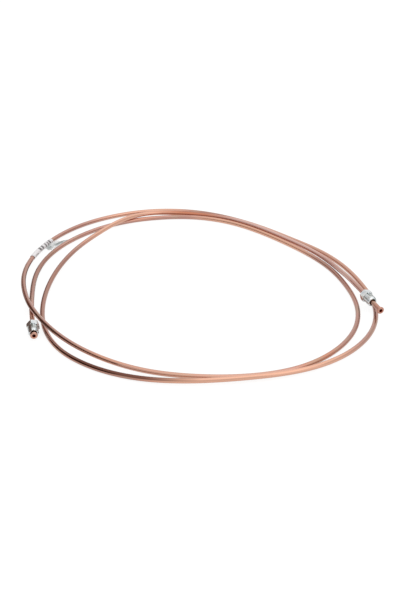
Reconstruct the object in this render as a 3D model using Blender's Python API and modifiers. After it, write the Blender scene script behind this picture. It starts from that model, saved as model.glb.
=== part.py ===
"""Coiled brake pipe with a bubble flare and a tube nut at each end, lying on a flat surface."""
import math

import bmesh
import bpy
import numpy as np
from mathutils import Matrix, Vector

for old in list(bpy.data.objects):
    bpy.data.objects.remove(old, do_unlink=True)

MM = 0.001

# Pipe
PIPE_OD = 4.75 * MM
PIPE_WALL = 0.85 * MM
PIPE_SIDES_STEP = 4
STATION_GAP = 15.0 * MM
AXIS_STEP = 2.0 * MM
COIL_RADIUS = 170.0 * MM
CLEARANCE = 0.3 * MM

# Straight ends: the middle of the flare's front face, the way the pipe leaves it, and the straight length
LEFT_FACE_X = -0.89529 * COIL_RADIUS
LEFT_FACE_Y = -0.64471 * COIL_RADIUS
LEFT_HEADING = 100.0
LEFT_STRAIGHT = 30.0 * MM
RIGHT_FACE_X = 1.03176 * COIL_RADIUS
RIGHT_FACE_Y = -0.41353 * COIL_RADIUS
RIGHT_HEADING = 109.0
RIGHT_STRAIGHT = 60.0 * MM

# Bubble flare, swelling out of the pipe
FLARE_SWELL = 2.35 * MM
FLARE_HOLE = 3.2 * MM
FLARE_LENGTH = 2.5 * MM

# Tube nut; its bore and seat are the pipe's diameter and what they stand off it
NUT_LENGTH = 17.0 * MM
NUT_FLATS = 11.0 * MM
NUT_HEX_LENGTH = 6.5 * MM
NUT_THREAD_OD = 9.9 * MM
NUT_RELIEF_OD = 8.6 * MM
NUT_RELIEF_LENGTH = 1.4 * MM
NUT_NOSE_OD = 8.0 * MM
NUT_NOSE_TAPER = 1.6 * MM
NUT_BORE_PLAY = 0.55 * MM
NUT_BORE_CHAMFER = 0.4 * MM
NUT_SEAT_SPREAD = 1.85 * MM
NUT_SEAT_DEPTH = 1.5 * MM
# Each nut lies a little back from its flare, with its flats turned off level
NUT_TURN = -15.0
LEFT_NUT_BACK = 2.3 * MM
RIGHT_NUT_BACK = 15.5 * MM

# Marker label, placed by its distance along the pipe from the left flare
LABEL_START = 7.07647 * COIL_RADIUS
LABEL_LENGTH = 49.0 * MM
LABEL_FILM = 0.25 * MM
TAIL_START = 27.0 * MM
TAIL_LENGTH = 21.0 * MM
TAIL_REACH = 13.0 * MM
TAIL_SKEW = 50.0

FLARE_OD = PIPE_OD + FLARE_SWELL
NUT_BORE = PIPE_OD + NUT_BORE_PLAY
NUT_SEAT_OD = PIPE_OD + NUT_SEAT_SPREAD
FLOOR_AXIS = PIPE_OD / 2
STACK = PIPE_OD + CLEARANCE
HEX_CORNER = NUT_FLATS / 2 / math.cos(math.radians(30))
LEFT_AXIS_Z = HEX_CORNER + CLEARANCE / 2
# The right nut's lowest corner slides over the strand below it
RIGHT_AXIS_Z = PIPE_OD + CLEARANCE + HEX_CORNER * math.cos(math.radians(NUT_TURN))
# The seat's rim meets the flare's back cone, and the nut's nose stops one clearance short of it
FLARE_CONE = FLARE_LENGTH * 0.4
SEATED_NOSE = FLARE_LENGTH - FLARE_CONE * (NUT_SEAT_OD - PIPE_OD) / (FLARE_OD - PIPE_OD) + CLEARANCE

# The coil's course from the left end to the right: bearing in degrees, clockwise from the right-hand side as
# seen from above, radius in coil radii, and the height of the axis above a strand on the floor in stacked strands
COIL = [
    (172, 0.9782, 0.48), (185, 0.9824, 0.13), (195, 0.9941, 0.00), (210, 1.0035, 0.00),
    (225, 1.0029, 0.00), (240, 0.9947, 0.00), (255, 0.9694, 0.00), (270, 0.9365, 0.00),
    (285, 0.8800, 0.00), (300, 0.8194, 0.00), (315, 0.7882, 0.00), (330, 0.7953, 0.00),
    (345, 0.8288, 0.00), (360, 0.8765, 0.00), (375, 0.9482, 0.00), (390, 1.0176, 0.00),
    (405, 1.0606, 0.00), (420, 1.0729, 0.00), (435, 1.0465, 0.00), (450, 1.0194, 0.07),
    (465, 1.0159, 0.38), (480, 1.0112, 0.84), (495, 1.0106, 1.43), (507, 1.0094, 1.76),
    (518, 1.0135, 1.84), (530, 1.0212, 1.62), (540, 1.0359, 1.24), (555, 1.0653, 0.68),
    (570, 1.0941, 0.30), (585, 1.1165, 0.07), (600, 1.1112, 0.00), (615, 1.0800, 0.00),
    (630, 1.0188, 0.00), (645, 0.9400, 0.00), (660, 0.8788, 0.00), (675, 0.8547, 0.00),
    (690, 0.8794, 0.00), (705, 0.9206, 0.00), (720, 0.9741, 0.00), (735, 1.0541, 0.00),
    (750, 1.1118, 0.00), (765, 1.1271, 0.03), (780, 1.1118, 0.27), (795, 1.0794, 0.43),
    (810, 1.0741, 0.39), (825, 1.0824, 0.17), (840, 1.0788, 0.00), (855, 1.0547, 0.00),
    (870, 0.9918, 0.00), (885, 0.9247, 0.09), (900, 0.8824, 0.21), (915, 0.8671, 0.45),
    (930, 0.8729, 0.78), (945, 0.9012, 1.06), (960, 0.9671, 1.17), (972, 1.0129, 0.66),
    (982, 1.0024, 0.24), (990, 0.9753, 0.15), (1005, 0.9100, 0.37), (1020, 0.8488, 0.37),
    (1035, 0.8212, 0.31), (1050, 0.8306, 0.37), (1062, 0.8482, 0.55), (1070, 0.8635, 0.83),
]


def linear(hex_colour):
    """Linear colour of an sRGB hex value."""
    channels = [int(hex_colour[i:i + 2], 16) / 255 for i in (1, 3, 5)]
    return [c / 12.92 if c <= 0.04045 else ((c + 0.055) / 1.055) ** 2.4 for c in channels] + [1.0]


def material(name, colour, metallic, roughness):
    """Principled material of one colour."""
    made = bpy.data.materials.new(name)
    made.use_nodes = True
    shader = made.node_tree.nodes["Principled BSDF"]
    shader.inputs["Base Color"].default_value = linear(colour)
    shader.inputs["Metallic"].default_value = metallic
    shader.inputs["Roughness"].default_value = roughness
    made.diffuse_color = linear(colour)
    return made


part = bpy.data.collections.new("brake_line")
helpers = bpy.data.collections.new("cutters")
bpy.context.scene.collection.children.link(part)
bpy.context.scene.collection.children.link(helpers)


def add_object(name, data, surface=None):
    """Link a named object to the part's collection."""
    obj = bpy.data.objects.new(name, data)
    part.objects.link(obj)
    if surface:
        data.materials.append(surface)
    return obj


def apply_modifiers(obj):
    """Replace an object's mesh by its modified mesh."""
    graph = bpy.context.evaluated_depsgraph_get()
    graph.update()
    made = bpy.data.meshes.new_from_object(obj.evaluated_get(graph))
    old = obj.data
    obj.modifiers.clear()
    obj.data = made
    if old.users == 0:
        bpy.data.meshes.remove(old)


def merge_points(obj, distance=0.00002):
    """Join points that lie together and turn every face outwards."""
    work = bmesh.new()
    work.from_mesh(obj.data)
    bmesh.ops.remove_doubles(work, verts=work.verts, dist=distance)
    bmesh.ops.recalc_face_normals(work, faces=work.faces)
    work.to_mesh(obj.data)
    work.free()


def make_smooth(obj, angle):
    """Shade round faces smooth and keep edges sharper than the angle."""
    obj.data.shade_smooth()
    obj.data.set_sharp_from_angle(angle=math.radians(angle))


def heading(degrees):
    """Level unit direction, counted anticlockwise from the right-hand side."""
    turn = math.radians(degrees)
    return np.array([math.cos(turn), math.sin(turn), 0.0])


def coil_points():
    """Points every few millimetres along the pipe's axis, left flare to right flare."""
    left_face = np.array([LEFT_FACE_X, LEFT_FACE_Y, LEFT_AXIS_Z])
    right_face = np.array([RIGHT_FACE_X, RIGHT_FACE_Y, RIGHT_AXIS_Z])
    left_way = heading(LEFT_HEADING)
    right_way = -heading(RIGHT_HEADING)
    bends = [left_face + left_way * LEFT_STRAIGHT]
    for bearing, radius, level in COIL:
        turn = math.radians(bearing)
        bends.append(np.array([
            radius * COIL_RADIUS * math.cos(turn),
            -radius * COIL_RADIUS * math.sin(turn),
            FLOOR_AXIS + level * STACK,
        ]))
    bends.append(right_face - right_way * RIGHT_STRAIGHT)
    bends = np.array(bends)
    gaps = np.linalg.norm(np.diff(bends, axis=0), axis=1)
    count = len(bends)
    weights = np.zeros((count, count))
    wanted = np.zeros((count, 3))
    weights[0, 0] = 1.0
    weights[-1, -1] = 1.0
    wanted[0] = left_way
    wanted[-1] = right_way
    for i in range(1, count - 1):
        before, after = gaps[i - 1], gaps[i]
        weights[i, i - 1] = after
        weights[i, i] = 2 * (before + after)
        weights[i, i + 1] = before
        wanted[i] = 3 * (
            after * (bends[i] - bends[i - 1]) / before + before * (bends[i + 1] - bends[i]) / after
        )
    slopes = np.linalg.solve(weights, wanted)
    points = []
    steps = max(2, round(LEFT_STRAIGHT / AXIS_STEP))
    for k in range(steps):
        points.append(left_face + left_way * LEFT_STRAIGHT * k / steps)
    for i in range(count - 1):
        steps = max(2, round(gaps[i] / AXIS_STEP))
        for k in range(steps):
            t = k / steps
            points.append(
                (2 * t ** 3 - 3 * t ** 2 + 1) * bends[i]
                + (t ** 3 - 2 * t ** 2 + t) * gaps[i] * slopes[i]
                + (3 * t ** 2 - 2 * t ** 3) * bends[i + 1]
                + (t ** 3 - t ** 2) * gaps[i] * slopes[i + 1]
            )
    steps = max(2, round(RIGHT_STRAIGHT / AXIS_STEP))
    for k in range(steps + 1):
        points.append(bends[-1] + right_way * RIGHT_STRAIGHT * k / steps)
    points = np.array(points)
    points[:, 2] = np.maximum(points[:, 2], FLOOR_AXIS)
    low = points.min(axis=0) - PIPE_OD / 2
    high = points.max(axis=0) + PIPE_OD / 2
    high[0] = max(high[0], right_face[0] + FLARE_OD / 2 * abs(right_way[1]))
    middle = (low + high) / 2
    middle[2] = 0.0
    return points - middle


AXIS = coil_points()
AXIS_RUN = np.concatenate([[0.0], np.cumsum(np.linalg.norm(np.diff(AXIS, axis=0), axis=1))])
PIPE_LENGTH = float(AXIS_RUN[-1])
LEFT_END = Vector(AXIS[0])
RIGHT_END = Vector(AXIS[-1])
LEFT_INWARD = Vector(heading(LEFT_HEADING))
RIGHT_INWARD = Vector(heading(RIGHT_HEADING))


def axis_at(distance):
    """Point on the pipe's axis at a distance from the left flare's face."""
    return np.array([np.interp(distance, AXIS_RUN, AXIS[:, k]) for k in range(3)])


def axis_way(distance):
    """Unit direction of the pipe's axis at a distance from the left flare's face."""
    way = axis_at(distance + AXIS_STEP / 2) - axis_at(distance - AXIS_STEP / 2)
    return way / np.linalg.norm(way)


def flare_shape():
    """Bubble flare as distance from its front face and radius, front to back."""
    outer = FLARE_OD / 2
    hole = FLARE_HOLE / 2
    rise = outer - hole
    front = FLARE_LENGTH - FLARE_CONE
    return [
        (0.0, hole),
        (0.06 * front, hole + 0.42 * rise),
        (0.22 * front, hole + 0.80 * rise),
        (0.48 * front, outer),
        (front, outer),
        (FLARE_LENGTH, PIPE_OD / 2),
    ]


def build_pipe(surface):
    """Tube swept along the coil, flared at both ends, with its bore open right through."""
    stations = [(distance, radius) for distance, radius in flare_shape()]
    first = LEFT_STRAIGHT
    last = PIPE_LENGTH - RIGHT_STRAIGHT
    count = max(8, round((last - first) / STATION_GAP))
    for k in range(count + 1):
        stations.append((first + (last - first) * k / count, PIPE_OD / 2))
    for distance, radius in reversed(flare_shape()):
        stations.append((PIPE_LENGTH - distance, radius))
    curve = bpy.data.curves.new("pipe_axis", "CURVE")
    curve.dimensions = "3D"
    curve.twist_mode = "Z_UP"
    curve.bevel_depth = PIPE_OD / 2
    curve.bevel_resolution = PIPE_SIDES_STEP
    curve.use_fill_caps = False
    line = curve.splines.new("POLY")
    line.points.add(len(stations) - 1)
    for point, (distance, radius) in zip(line.points, stations):
        place = axis_at(distance)
        point.co = (place[0], place[1], place[2], 1.0)
        point.radius = radius / (PIPE_OD / 2)
    swept = bpy.data.objects.new("pipe_sweep", curve)
    helpers.objects.link(swept)
    graph = bpy.context.evaluated_depsgraph_get()
    graph.update()
    skin = bpy.data.meshes.new_from_object(swept.evaluated_get(graph))
    bpy.data.objects.remove(swept, do_unlink=True)
    skin.name = "brake_pipe"
    skin.materials.clear()
    pipe = add_object("brake_pipe", skin, surface)
    merge_points(pipe)
    wall = pipe.modifiers.new("wall", "SOLIDIFY")
    wall.thickness = PIPE_WALL
    wall.offset = -1.0
    wall.use_rim = True
    apply_modifiers(pipe)
    merge_points(pipe)
    make_smooth(pipe, 40)
    return pipe


def turned(name, profile, sides):
    """Closed solid turned about +Z from a closed outline of radius and height."""
    mesh = bpy.data.meshes.new(name)
    corners = [(radius, 0.0, height) for radius, height in profile]
    edges = [(i, (i + 1) % len(corners)) for i in range(len(corners))]
    mesh.from_pydata(corners, edges, [])
    obj = bpy.data.objects.new(name, mesh)
    helpers.objects.link(obj)
    screw = obj.modifiers.new("turn", "SCREW")
    screw.axis = "Z"
    screw.angle = math.radians(360)
    screw.steps = sides
    screw.render_steps = sides
    screw.use_merge_vertices = True
    screw.merge_threshold = 0.00001
    apply_modifiers(obj)
    merge_points(obj)
    return obj


def build_nut(name, surface, end, inward, nose_back):
    """Tube nut on the pipe's axis, its nose towards the flare and its hexagon behind."""
    hex_front = NUT_LENGTH - NUT_HEX_LENGTH
    thread = NUT_THREAD_OD / 2
    relief = NUT_RELIEF_OD / 2
    nose = NUT_NOSE_OD / 2
    bore = NUT_BORE / 2
    seat = NUT_SEAT_OD / 2
    corner = HEX_CORNER
    lead = thread - relief
    chamfer = (corner - NUT_FLATS / 2) * 0.9
    outline = [
        (bore, NUT_SEAT_DEPTH),
        (seat, 0.0),
        (nose, 0.0),
        (thread, NUT_NOSE_TAPER),
        (thread, hex_front - NUT_RELIEF_LENGTH - lead),
        (relief, hex_front - NUT_RELIEF_LENGTH),
        (relief, hex_front),
        (corner - chamfer * 1.6, hex_front),
        (corner, hex_front + chamfer),
        (corner, NUT_LENGTH - chamfer),
        (corner - chamfer * 1.6, NUT_LENGTH),
        (bore + NUT_BORE_CHAMFER, NUT_LENGTH),
        (bore, NUT_LENGTH - NUT_BORE_CHAMFER),
    ]
    nut = turned(name, outline, 36)
    prism_mesh = bpy.data.meshes.new(name + "_flats")
    prism = bpy.data.objects.new(name + "_flats", prism_mesh)
    helpers.objects.link(prism)
    shape = bmesh.new()
    bmesh.ops.create_cone(
        shape,
        cap_ends=True,
        segments=6,
        radius1=corner,
        radius2=corner,
        depth=NUT_LENGTH * 2,
        matrix=Matrix.Translation((0.0, 0.0, NUT_LENGTH / 2)) @ Matrix.Rotation(math.radians(30), 4, "Z"),
    )
    shape.to_mesh(prism_mesh)
    shape.free()
    prism.hide_render = True
    prism.display_type = "WIRE"
    cut = nut.modifiers.new("flats", "BOOLEAN")
    cut.operation = "INTERSECT"
    cut.solver = "EXACT"
    cut.object = prism
    apply_modifiers(nut)
    helpers.objects.unlink(nut)
    part.objects.link(nut)
    nut.name = name
    nut.data.name = name
    nut.data.materials.clear()
    nut.data.materials.append(surface)
    side = Vector((0.0, 0.0, 1.0)).cross(inward)
    up = inward.cross(side)
    frame = Matrix((
        (up.x, side.x, inward.x),
        (up.y, side.y, inward.y),
        (up.z, side.z, inward.z),
    )).to_4x4()
    # The nut's height runs back along the pipe, and one flat faces up, turned by the nut's turn
    nut.data.transform(Matrix.Rotation(math.radians(30 + NUT_TURN), 4, "Z"))
    nut.data.transform(frame)
    nut.location = end + inward * nose_back
    merge_points(nut)
    make_smooth(nut, 25)
    return nut


def label_frame(distance):
    """Axis point, way along, inward side and up at a distance along the pipe."""
    place = axis_at(distance)
    way = axis_way(distance)
    side = np.cross(way, (0.0, 0.0, 1.0))
    side /= np.linalg.norm(side)
    if np.dot(side[:2], -place[:2]) < 0:
        side = -side
    up = np.cross(side, way)
    if up[2] < 0:
        up = -up
    return place, way, side, up


def build_label(surface):
    """Film wrapped once round the strand, with its skewed tail drooping to the floor inside the coil."""
    inner = PIPE_OD / 2 + CLEARANCE
    outer = inner + LABEL_FILM
    around = 20
    rings = 8
    verts = []
    faces = []
    for k in range(rings):
        place, way, side, up = label_frame(LABEL_START + LABEL_LENGTH * k / (rings - 1))
        for radius in (inner, outer):
            for j in range(around):
                turn = 2 * math.pi * j / around
                verts.append(tuple(place + radius * (math.cos(turn) * side + math.sin(turn) * up)))
    block = 2 * around
    for k in range(rings - 1):
        for j in range(around):
            n = (j + 1) % around
            faces.append([k * block + j, k * block + n, (k + 1) * block + n, (k + 1) * block + j])
            faces.append([
                k * block + around + j, (k + 1) * block + around + j,
                (k + 1) * block + around + n, k * block + around + n,
            ])
    for k in (0, rings - 1):
        for j in range(around):
            n = (j + 1) % around
            faces.append([k * block + j, k * block + around + j, k * block + around + n, k * block + n])
    mesh = bpy.data.meshes.new("marker_label")
    mesh.from_pydata(verts, [], faces)
    label = add_object("marker_label", mesh, surface)
    merge_points(label)

    across = 7
    along = 4
    root = inner + LABEL_FILM / 2
    half = LABEL_FILM / 2
    grid = []
    for i in range(across):
        reach = i / (across - 1)
        for k in range(along):
            slide = root + (TAIL_REACH - root) * reach
            shift = (slide - root) * math.tan(math.radians(TAIL_SKEW))
            start = LABEL_START + TAIL_START + TAIL_LENGTH * k / (along - 1) + shift
            place, way, side, up = label_frame(start)
            drop = place[2] - half - CLEARANCE
            height = -drop * (3 * reach ** 2 - 2 * reach ** 3)
            grid.append(tuple(place + side * slide + np.array([0.0, 0.0, height])))
    quads = []
    for i in range(across - 1):
        for k in range(along - 1):
            a = i * along + k
            quads.append([a, a + 1, a + along + 1, a + along])
    tail_mesh = bpy.data.meshes.new("label_tail")
    tail_mesh.from_pydata(grid, [], quads)
    tail = bpy.data.objects.new("label_tail", tail_mesh)
    helpers.objects.link(tail)
    tail.hide_render = True
    tail.display_type = "WIRE"
    film = tail.modifiers.new("film", "SOLIDIFY")
    film.thickness = LABEL_FILM
    film.offset = 0.0
    apply_modifiers(tail)
    merge_points(tail)
    joined = label.modifiers.new("tail", "BOOLEAN")
    joined.operation = "UNION"
    joined.solver = "EXACT"
    joined.object = tail
    apply_modifiers(label)
    bpy.data.objects.remove(tail, do_unlink=True)
    label.data.name = "marker_label"
    merge_points(label)
    make_smooth(label, 40)
    return label


copper = material("copper_pipe", "#C08A6A", 1.0, 0.32)
left_zinc = material("zinc_nut_left", "#B9BDBE", 1.0, 0.34)
right_zinc = material("zinc_nut_right", "#B9BDBE", 1.0, 0.34)
film_white = material("label_film", "#E9E7E6", 0.0, 0.45)

build_pipe(copper)
build_nut("tube_nut_left", left_zinc, LEFT_END, LEFT_INWARD, SEATED_NOSE + LEFT_NUT_BACK)
build_nut("tube_nut_right", right_zinc, RIGHT_END, RIGHT_INWARD, SEATED_NOSE + RIGHT_NUT_BACK)
build_label(film_white)

for cutter in list(helpers.objects):
    bpy.data.objects.remove(cutter, do_unlink=True)
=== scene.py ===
import math

import bpy
import numpy as np
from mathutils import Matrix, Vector


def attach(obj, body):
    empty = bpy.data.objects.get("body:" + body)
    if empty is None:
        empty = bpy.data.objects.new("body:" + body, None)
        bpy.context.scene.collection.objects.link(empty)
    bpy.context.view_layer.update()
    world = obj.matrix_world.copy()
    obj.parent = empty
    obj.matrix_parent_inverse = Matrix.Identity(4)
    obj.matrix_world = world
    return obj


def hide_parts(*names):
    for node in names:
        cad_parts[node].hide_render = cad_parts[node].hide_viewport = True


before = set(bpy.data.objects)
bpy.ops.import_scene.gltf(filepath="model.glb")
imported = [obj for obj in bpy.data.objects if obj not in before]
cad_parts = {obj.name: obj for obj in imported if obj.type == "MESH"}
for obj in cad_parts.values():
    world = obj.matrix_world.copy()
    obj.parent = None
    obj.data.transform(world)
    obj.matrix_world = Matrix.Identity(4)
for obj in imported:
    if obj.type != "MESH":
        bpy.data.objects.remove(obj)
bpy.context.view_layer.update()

scene = bpy.context.scene
scene.view_settings.view_transform = "Standard"
mm = 0.001
flatToCorner = math.radians(30)  # round a hexagon, from the middle of a flat to its corner


def linearColour(hexColour):
    # sRGB hex to the linear values that the shaders use
    channels = [int(hexColour[i:i + 2], 16) / 255 for i in (1, 3, 5)]
    linear = [c / 12.92 if c <= 0.04045 else ((c + 0.055) / 1.055) ** 2.4 for c in channels]
    return (*linear, 1.0)


def addNode(tree, kind, settings=None, links=None):
    # a key that is a socket's name or number sets that socket, any other key sets the node itself
    node = tree.nodes.new("ShaderNode" + kind)
    for key, value in (settings or {}).items():
        if isinstance(key, int) or key in node.inputs:
            isHex = isinstance(value, str) and value.startswith("#")
            node.inputs[key].default_value = linearColour(value) if isHex else value
        else:
            setattr(node, key, value)
    for key, source in (links or {}).items():
        if hasattr(source, "outputs"):
            source = next(output for output in source.outputs if output.enabled)
        tree.links.new(source, node.inputs[key])
    return node


def newMaterial(name):
    made = bpy.data.materials.new(name)
    made.use_nodes = True
    tree = made.node_tree
    return made, tree, tree.nodes["Principled BSDF"]


# the camera is 29 degrees above level and a little over a metre off
cameraSettings = {
    "x": 3.01 * mm,
    "y": -1049.4 * mm,
    "height": 566.46 * mm,
    "down": 29.0,     # degrees
    "lens": 70.56,    # mm
    "clipEnd": 50.0,  # metres
}

camera = bpy.data.objects.new("camera", bpy.data.cameras.new("camera"))
scene.collection.objects.link(camera)
camera.location = (cameraSettings["x"], cameraSettings["y"], cameraSettings["height"])
camera.rotation_euler = (math.radians(90.0 - cameraSettings["down"]), 0.0, 0.0)
camera.data.lens = cameraSettings["lens"]
camera.data.clip_end = cameraSettings["clipEnd"]
scene.camera = camera
print("camera placed")


# a white room with soft panels above, behind and on the right, and on the left two dark cloths that stand
# and one that lies on the paper; distances in metres
studioSettings = {
    "room": 0.80,  # the room's level, where 1 is the white that the camera sees
    "panels": [
        # name, middle, faces, width, height, glow
        ("overhead_panel", (0.45, -0.1, 1.4), (0, 0, -1), 2.2, 3.2, 0.20),
        ("overhead_right_panel", (0.75, -0.1, 1.39), (0, 0, -1), 1.5, 3.2, 0.17),
        ("overhead_strip", (0.5, -0.26, 1.38), (0, 0, -1), 2.6, 0.56, 0.24),
        ("back_panel", (0.14, 1.0, 0.72), (0, -1, 0), 0.75, 1.36, 0.17),
        ("right_panel", (1.0, -1.2, 0.8), (-1, 0, 0), 1.4, 1.5, 0.30),
    ],
    "flags": [
        # name, middle, runs along, rises along, length, height, cloth
        ("front_flag", (-0.226, -0.145, 0.070), (0, 1, 0), (0, 0, 1), 0.30, 0.140, "#6A544A"),
        ("side_flag", (-0.286, 0.127, 0.090), (0, 1, 0), (0, 0, 1), 0.45, 0.148, "#9A7C72"),
        ("left_card", (-0.205, 0.006, 0.0003), (0, 1, 0), (1, 0, 0), 0.105, 0.09, "#9C8A80"),
    ],
    "clothRoughness": 0.95,
    "clothSpecular": 0.1,
}


def buildStudio():
    s = studioSettings
    world = bpy.data.worlds.new("studio")
    world.use_nodes = True
    scene.world = world
    tree = world.node_tree
    # pure white straight behind the object and through clear film, the room's own level for everything else
    path = addNode(tree, "LightPath")
    seen = addNode(tree, "Math", {"operation": "MAXIMUM"},
                   {0: path.outputs["Is Camera Ray"], 1: path.outputs["Is Transmission Ray"]})
    strength = addNode(tree, "Mix", {"data_type": "FLOAT", 2: s["room"], 3: 1.0}, {0: seen})
    background = tree.nodes["Background"]
    background.inputs["Color"].default_value = (1.0, 1.0, 1.0, 1.0)
    tree.links.new(strength.outputs[0], background.inputs["Strength"])
    for name, middle, faces, width, height, glow in s["panels"]:
        data = bpy.data.lights.new(name, "AREA")
        data.shape = "RECTANGLE"
        data.size, data.size_y = width, height
        data.energy = glow * math.pi * width * height  # glow 1 is as bright as white paper
        panel = bpy.data.objects.new(name, data)
        scene.collection.objects.link(panel)
        panel.location = middle
        panel.rotation_euler = Vector(faces).to_track_quat("-Z", "Y").to_euler()
        panel.visible_camera = False
        panel.visible_transmission = False


def buildFlags():
    # matt cloth that shows only in reflections, where it gives the tube the dark edges on its left
    s = studioSettings
    for name, middle, along, rises, length, height, cloth in s["flags"]:
        made, _, shader = newMaterial(name + "_cloth")
        shader.inputs["Base Color"].default_value = linearColour(cloth)
        shader.inputs["Roughness"].default_value = s["clothRoughness"]
        shader.inputs["Specular IOR Level"].default_value = s["clothSpecular"]
        half, rise = Vector(along) * length / 2, Vector(rises) * height / 2
        corners = [Vector(middle) + a * half + b * rise for a, b in ((-1, -1), (1, -1), (1, 1), (-1, 1))]
        mesh = bpy.data.meshes.new(name)
        mesh.from_pydata([tuple(corner) for corner in corners], [], [(0, 1, 2, 3)])
        mesh.materials.append(made)
        flag = bpy.data.objects.new(name, mesh)
        scene.collection.objects.link(flag)
        flag.visible_camera = False
        flag.visible_transmission = False
        flag.visible_diffuse = False
        flag.visible_shadow = False


buildStudio()
buildFlags()

floorSettings = {
    "size": 8.0,
    "below": 0.02 * mm,
    "paper": "#E6E6E6",
    "roughness": 0.9,
    "glow": 0.87,       # the paper's own level behind the object
    "shadow": 0.20,     # how much of the light that falls on it adds to that, so how dark its shadows are
    "metalGlow": 0.58,  # the same two as metal sees them: a darker paper, with deeper shadows
    "metalShadow": 0.36,
}


def buildFloor():
    s = floorSettings
    made, tree, shader = newMaterial("white_sweep_paper")  # matt photographic paper with a faint soft shadow
    shader.inputs["Base Color"].default_value = linearColour(s["paper"])
    shader.inputs["Roughness"].default_value = s["roughness"]
    shader.inputs["Specular IOR Level"].default_value = 0.0
    # the camera and clear film see the paper as the white background, and metal sees it a little darker
    path = addNode(tree, "LightPath")
    mirrored = addNode(tree, "Math", {"operation": "SUBTRACT", "use_clamp": True},
                       {0: path.outputs["Is Glossy Ray"], 1: path.outputs["Is Transmission Ray"]})
    shadowTone = (s["shadow"],) * 3 + (1.0,)
    metalTone = (s["metalShadow"],) * 3 + (1.0,)
    shadow = addNode(tree, "Mix", {"data_type": "RGBA", 6: shadowTone, 7: metalTone}, {0: mirrored})
    level = addNode(tree, "Mix", {"data_type": "FLOAT", 2: s["glow"], 3: s["metalGlow"]}, {0: mirrored})
    shade = addNode(tree, "BsdfDiffuse", None, {"Color": shadow})
    glow = addNode(tree, "Emission", None, {"Strength": level})
    white = addNode(tree, "AddShader", None, {0: shade, 1: glow})
    some = addNode(tree, "Math", {"operation": "MAXIMUM"},
                   {0: path.outputs["Is Camera Ray"], 1: path.outputs["Is Glossy Ray"]})
    seen = addNode(tree, "Math", {"operation": "MAXIMUM"}, {0: some, 1: path.outputs["Is Transmission Ray"]})
    both = addNode(tree, "MixShader", None, {0: seen, 1: shader, 2: white})
    tree.links.new(both.outputs[0], tree.nodes["Material Output"].inputs["Surface"])
    half, low = s["size"] / 2, -s["below"]
    corners = [(-half, -half, low), (half, -half, low), (half, half, low), (-half, half, low)]
    mesh = bpy.data.meshes.new("floor")
    mesh.from_pydata(corners, [], [(0, 1, 2, 3)])
    mesh.materials.append(made)
    floor = bpy.data.objects.new("floor", mesh)
    scene.collection.objects.link(floor)


buildFloor()
print("studio and floor built")


pipeSettings = {
    "outside": 4.75 * mm,
    "wall": 0.85 * mm,
    "coilRadius": 170.0 * mm,
    "clearance": 0.3 * mm,      # between strands, and between a flare and its seated nut
    "axisStep": 2.0 * mm,
    # each end: its front face in coil radii, its heading in degrees, and how far it runs straight
    "leftFace": (-0.89529, -0.64471),
    "leftHeading": 100.0,
    "leftStraight": 30.0 * mm,
    "rightFace": (1.03176, -0.41353),
    "rightHeading": 109.0,
    "rightStraight": 60.0 * mm,
    "flareOutside": 7.1 * mm,
    "flareHole": 3.5 * mm,
    "flareLength": 2.5 * mm,
    "flareSwell": 0.6,          # the share of its length that is in front of its back slope
    "flareCurl": 0.48,          # how far back the curl of its front reaches, over that share
    "rimMiddle": 0.75,          # where the rim's middle ring lies, over that share
    "rimBack": 0.25 * mm,       # where the rim starts to round off, in front of the back slope
    "rimRound": 0.35 * mm,
    "flareFade": 0.5 * mm,      # how far behind the flare its slope runs out on the tube
    "curlRings": 9,
    "rimRings": 4,
    "slopeRings": 6,
    # inside the mouth: how deep, and how much narrower than the flare's hole or the bore
    "mouth": 0.12 * mm,
    "mouthLip": 0.05 * mm,
    "throat": 0.5 * mm,
    "throatLip": 0.03 * mm,
    "throatEnd": 2.0 * mm,
    "boreStart": 4.0 * mm,
    "sides": 36,
    "ringGap": 3.0 * mm,
    "boreRingGap": 9.0 * mm,
}
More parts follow.
